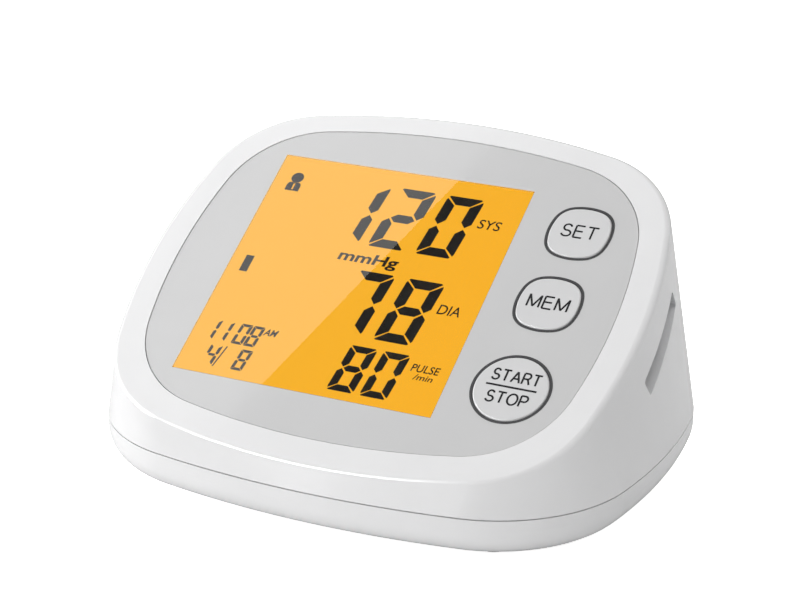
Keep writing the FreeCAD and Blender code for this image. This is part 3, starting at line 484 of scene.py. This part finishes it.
GRAPHICS_OUT = GLASS_TOP + 0.00003
shift_u = DISPLAY_CENTRE[0] + SHIFT[0] * MM
shift_v = DISPLAY_CENTRE[1] + SHIFT[1] * MM
put_on_face("display_segments", flat_mesh("display_segments", display_outlines()), SEGMENT_INK,
            shift_u, shift_v, GRAPHICS_OUT, "casing")
body, one = person_outline()
put_on_face("user_sign", flat_mesh("user_sign", [body], [one]), SEGMENT_INK,
            shift_u, shift_v, GRAPHICS_OUT, "casing")
DISPLAY_WORDS = (                 # piece, word, centre, width and height in mm, boldness in mm, slant
    ("display_sys", "SYS", 26.0, 21.6, 5.7, 2.75, 0.05, 0.1),
    ("display_dia", "DIA", 26.0, -4.3, 5.6, 2.75, 0.05, 0.1),
    ("display_pulse", "PULSE", 26.9, -21.15, 6.9, 2.1, 0.08, 0.1),
    ("display_per_minute", "/min", 27.2, -23.5, 4.8, 1.6, 0.08, 0.15),
    ("display_units", "mmHg", 0.95, 5.85, 15.5, 3.95, 0.22, 0.06),
    ("display_am", "AM", -13.5, -19.15, 3.6, 1.9, 0.2, 0.25),
)
for name, text, u, v, width, height, bold, shear in DISPLAY_WORDS:
    put_on_face(name, text_mesh(name, text, width, height, bold, shear), SEGMENT_INK,
                shift_u + u * MM, shift_v + v * MM, GRAPHICS_OUT, "casing")


# ---------------------------------------------------------------- key lettering
LETTERS = {                       # width and strokes of each letter, one unit high
    "A": (0.86, [[(0.0, 0.0), (0.43, 1.0), (0.86, 0.0)], [(0.15, 0.34), (0.71, 0.34)]]),
    "E": (0.66, [[(0.66, 0.0), (0.0, 0.0), (0.0, 1.0), (0.64, 1.0)], [(0.0, 0.53), (0.59, 0.53)]]),
    "M": (0.86, [[(0.0, 0.0), (0.0, 1.0), (0.43, 0.04), (0.86, 1.0), (0.86, 0.0)]]),
    "O": (0.92, [bow(0.46, 0.5, 0.46, 0.5, 0, 360, 32)]),
    "P": (0.68, [[(0.0, 0.0), (0.0, 1.0), (0.38, 1.0)] + bow(0.38, 0.735, 0.29, 0.265, 85, -90)
                 + [(0.0, 0.47)]]),
    "R": (0.76, [[(0.0, 0.0), (0.0, 1.0), (0.42, 1.0)] + bow(0.42, 0.745, 0.28, 0.255, 85, -90)
                 + [(0.0, 0.49)],
                 [(0.4, 0.49), (0.52, 0.42), (0.76, 0.0)]]),
    "S": (0.7, [bow(0.35, 0.74, 0.29, 0.26, 20, 250) + bow(0.35, 0.25, 0.35, 0.25, 80, -165)]),
    "T": (0.78, [[(0.0, 1.0), (0.78, 1.0)], [(0.39, 1.0), (0.39, 0.0)]]),
}


LETTER_GAP = 0.27                 # between letters, in the same units
LETTER_STROKE = 0.47              # stroke thickness in mm
BAR_STROKE = 0.5
SHARPEST_BEND = 35                # degrees a stroke may turn at one point
FLATTENING = 0.1                  # height of a pressed stroke over its width


def split_at_corners(stroke):
    """Parts of a stroke that turn gently, so that every sharp corner keeps its full width."""
    parts = [[stroke[0]]]
    for before, here, after in zip(stroke, stroke[1:], stroke[2:]):
        parts[-1].append(here)
        arriving = Vector(here) - Vector(before)
        leaving = Vector(after) - Vector(here)
        if math.degrees(arriving.angle(leaving, 0)) > SHARPEST_BEND:
            parts.append([here])
    parts[-1].append(stroke[-1])
    return parts


def stroke_mesh(name, strokes, thickness):
    """Round-ended strokes in millimetres, pressed flat."""
    curve = bpy.data.curves.new(name, "CURVE")
    curve.dimensions = "3D"
    curve.bevel_depth = thickness * MM / 2
    curve.bevel_resolution = 2
    curve.use_fill_caps = True
    for stroke in strokes:
        for part in split_at_corners(stroke):
            spline = curve.splines.new("POLY")
            spline.points.add(len(part) - 1)
            for point, (x, y) in zip(spline.points, part):
                point.co = (x * MM, y * MM, 0, 1)
    mesh = mesh_of(name, curve)
    mesh.transform(Matrix.Diagonal((1, 1, FLATTENING, 1)))
    return mesh


def word_strokes(text, width, height):
    """Strokes of a word fitted to a width and height and centred on its own box."""
    natural = sum(LETTERS[letter][0] for letter in text) + LETTER_GAP * (len(text) - 1)
    stretch = width / natural
    strokes = []
    x = -width / 2
    for letter in text:
        letter_width, parts = LETTERS[letter]
        strokes += [[(x + px * stretch, (py - 0.5) * height) for px, py in part] for part in parts]
        x += (letter_width + LETTER_GAP) * stretch
    return strokes


KEY_BAR = [(-6.0, 0.3), (6.0, 0.3)]
PRINT_LIFT = 0.00002
KEY_WORDS = (                     # key, piece, word, place on the key and size in mm
    ("set", "print_set", "SET", 0.0, 0.3, 8.5, 3.5),
    ("mem", "print_mem", "MEM", 0.0, 0.15, 9.6, 3.4),
    ("start", "print_start", "START", 0.3, 3.2, 11.3, 2.9),
    ("start", "print_stop", "STOP", 0.1, -2.75, 9.6, 2.9),
)
for key, name, text, du, dv, width, height in KEY_WORDS:
    node = "key_" + key
    u, v, _ = middle(node)
    top = along(node, OUT)[1]
    put_on_face(name, stroke_mesh(name, word_strokes(text, width, height), LETTER_STROKE), KEY_INK,
                u + du * MM, v + dv * MM, top + PRINT_LIFT, node)
u, v, _ = middle("key_start")
put_on_face("print_bar", stroke_mesh("print_bar", [KEY_BAR], BAR_STROKE), KEY_INK, u, v,
            along("key_start", OUT)[1] + PRINT_LIFT, "key_start")


# ---------------------------------------------------------------- socket recess and its painted shade
INSERT_WALL = 0.0016              # the insert reaches this far behind the recess it lines
# A thin dark strip along the lower wall of the recess is painted shade: it stands for the shadow in the
# recess, not for a real rubber gasket.
PAINTED_SHADE_LINE = [(0.0, -6.0), (0.0, 6.0)]
PAINTED_SHADE_WIDTH = 0.5                # in mm
PAINTED_SHADE_OFF_FLOOR = 0.00045
PAINTED_SHADE_OFF_MIDDLE = 0.0065        # the painted shade strip fills the lower half of the recess only
_, recess_v, _ = middle("port_insert")
recess_u = along("port_insert", ACROSS)[0] + INSERT_WALL
recess_w = along("port_insert", OUT)[0] + INSERT_WALL
# Painted shade: a dark strip that stands for the shadow in the socket recess.
put_on_face("socket_painted_shade", stroke_mesh("socket_painted_shade", [PAINTED_SHADE_LINE], PAINTED_SHADE_WIDTH), RING_DARK,
            recess_u + PAINTED_SHADE_OFF_FLOOR, recess_v - PAINTED_SHADE_OFF_MIDDLE, recess_w, "casing")


# ---------------------------------------------------------------- stage
FLOOR_HALF = 6
FLOOR_GLOW = 0.9                  # added for the camera only, so that the floor reads as white
WORLD_FILL = 0.35                 # strength of the white world as a light
WORLD_SEEN = 1.0                  # as the background
WORLD_MIRRORED = 0.12             # in reflections
LIGHT_TARGET = (0, 0, 0.03)
CAMERA_PLACE = (0.2190, -0.4470, 0.2290)
CAMERA_TURN = (90 - 20.99, 0, 26.15)   # in degrees
CAMERA_LENS = 102.2


def make_floor():
    """Plain pale floor."""
    mesh = bpy.data.meshes.new("floor")
    shape = bmesh.new()
    bmesh.ops.create_grid(shape, x_segments=1, y_segments=1, size=FLOOR_HALF)
    shape.to_mesh(mesh)
    shape.free()
    floor = bpy.data.objects.new("floor", mesh)
    bpy.context.scene.collection.objects.link(floor)
    material, tree, shader = new_material("floor_paper")
    shader.inputs["Base Color"].default_value = grey(0.82)
    shader.inputs["Roughness"].default_value = 0.9
    shader.inputs["Specular IOR Level"].default_value = 0.1
    seen = add(tree, "ShaderNodeLightPath").outputs["Is Camera Ray"]
    tree.links.new(remap(tree, seen, 0.0, FLOOR_GLOW), shader.inputs["Emission Strength"])
    shader.inputs["Emission Color"].default_value = grey(1.0)
    mesh.materials.append(material)


def make_world():
    """White studio whose strength depends on what sees it."""
    world = bpy.data.worlds.new("studio")
    world.use_nodes = True
    tree = world.node_tree
    background = tree.nodes["Background"]
    path = add(tree, "ShaderNodeLightPath")
    strength = add(tree, "ShaderNodeMix", data_type="FLOAT")
    strength.inputs[2].default_value = WORLD_FILL
    strength.inputs[3].default_value = WORLD_SEEN
    tree.links.new(path.outputs["Is Camera Ray"], strength.inputs[0])
    dimmed = add(tree, "ShaderNodeMix", data_type="FLOAT")
    dimmed.inputs[3].default_value = WORLD_MIRRORED
    tree.links.new(path.outputs["Is Glossy Ray"], dimmed.inputs[0])
    tree.links.new(strength.outputs[0], dimmed.inputs[2])
    tree.links.new(dimmed.outputs[0], background.inputs["Strength"])
    background.inputs["Color"].default_value = grey(1.0)
    bpy.context.scene.world = world


def panel_light(name, size, watts, seen_by):
    """Rectangular light that only diffuse or only glossy rays see."""
    data = bpy.data.lights.new(name, "AREA")
    data.shape = "RECTANGLE"
    data.size, data.size_y = size
    data.energy = watts
    light = bpy.data.objects.new(name, data)
    bpy.context.scene.collection.objects.link(light)
    light.visible_camera = False
    light.visible_diffuse = seen_by == "diffuse"
    light.visible_glossy = seen_by == "glossy"
    light.visible_transmission = False
    return light


def aimed_light(name, location, size, watts, seen_by):
    """Rectangular light that faces the object."""
    light = panel_light(name, size, watts, seen_by)
    light.location = location
    direction = Vector(LIGHT_TARGET) - Vector(location)
    light.rotation_euler = direction.to_track_quat("-Z", "Y").to_euler()


def make_camera():
    """Camera in front of the object, to its right and above it."""
    data = bpy.data.cameras.new("camera")
    data.lens = CAMERA_LENS
    data.sensor_width = 36
    camera = bpy.data.objects.new("camera", data)
    camera.location = CAMERA_PLACE
    camera.rotation_euler = [math.radians(angle) for angle in CAMERA_TURN]
    bpy.context.scene.collection.objects.link(camera)
    bpy.context.scene.camera = camera
    return camera


GLARE_LINE = ((13.5, 33.4), (-9.3, -33.4))   # edge of the reflected panel light on the window, in mm
GLARE_DISTANCE = 0.9
GLARE_SIZE = (0.7, 1.2)
GLARE_RADIANCE = 2.1


def make_glare_light(camera):
    """A panel light whose straight edge is mirrored in the window as a slanting line."""
    plane = WINDOW_OUT[1]
    eye = camera.location
    mirrored = eye - OUT * 2 * (eye.dot(OUT) - plane)
    centre = ACROSS * DISPLAY_CENTRE[0] + UP * DISPLAY_CENTRE[1] + OUT * plane
    heading = (centre - mirrored).normalized()
    board = centre + heading * GLARE_DISTANCE
    ends = []
    for u, v in GLARE_LINE:
        point = centre + ACROSS * u * MM + UP * v * MM
        ray = (point - mirrored).normalized()
        ends.append(mirrored + ray * ((board - mirrored).dot(heading) / ray.dot(heading)))
    edge = (ends[0] - ends[1]).normalized()
    side = heading.cross(edge).normalized()
    if side.dot(ACROSS) > 0:
        side = -side
    width, height = GLARE_SIZE
    light = panel_light("glare_panel", GLARE_SIZE, GLARE_RADIANCE * math.pi * width * height, "glossy")
    place = (ends[0] + ends[1]) / 2 + side * width / 2
    turn = Matrix((side, edge, side.cross(edge))).transposed()
    if turn.col[2].dot(heading) < 0:
        turn = Matrix((-side, edge, (-side).cross(edge))).transposed()
    light.matrix_world = Matrix.Translation(place) @ turn.to_4x4()


LIGHTS = (                        # name, place, size, power in watts, rays that see it
    ("left_front_light", (-0.9, -0.7, 0.15), (0.8, 0.8), 1.7, "diffuse"),
    ("top_light", (0.0, 0.2, 1.1), (0.9, 0.9), 4.7, "diffuse"),
    ("right_rear_light", (0.8, 0.5, 0.8), (0.6, 0.6), 2.05, "diffuse"),
    ("front_light", (-0.25, -1.2, 0.2), (0.6, 0.4), 4.6, "diffuse"),
    ("left_light", (-1.2, -0.15, 0.25), (0.6, 0.4), 7.0, "diffuse"),
    ("crease_front_light", (-0.48, -0.8, 0.68), (0.3, 0.3), 12.0, "glossy"),
    ("crease_corner_light", (-0.85, -0.5, 0.55), (0.3, 0.3), 10.0, "glossy"),
    ("crease_left_light", (-1.1, -0.1, 0.36), (0.3, 0.3), 6.0, "glossy"),
)

make_floor()
make_world()
for name, place, size, watts, seen_by in LIGHTS:
    aimed_light(name, place, size, watts, seen_by)
camera = make_camera()
bpy.context.view_layer.update()
make_glare_light(camera)
bpy.context.scene.view_settings.view_transform = "Standard"
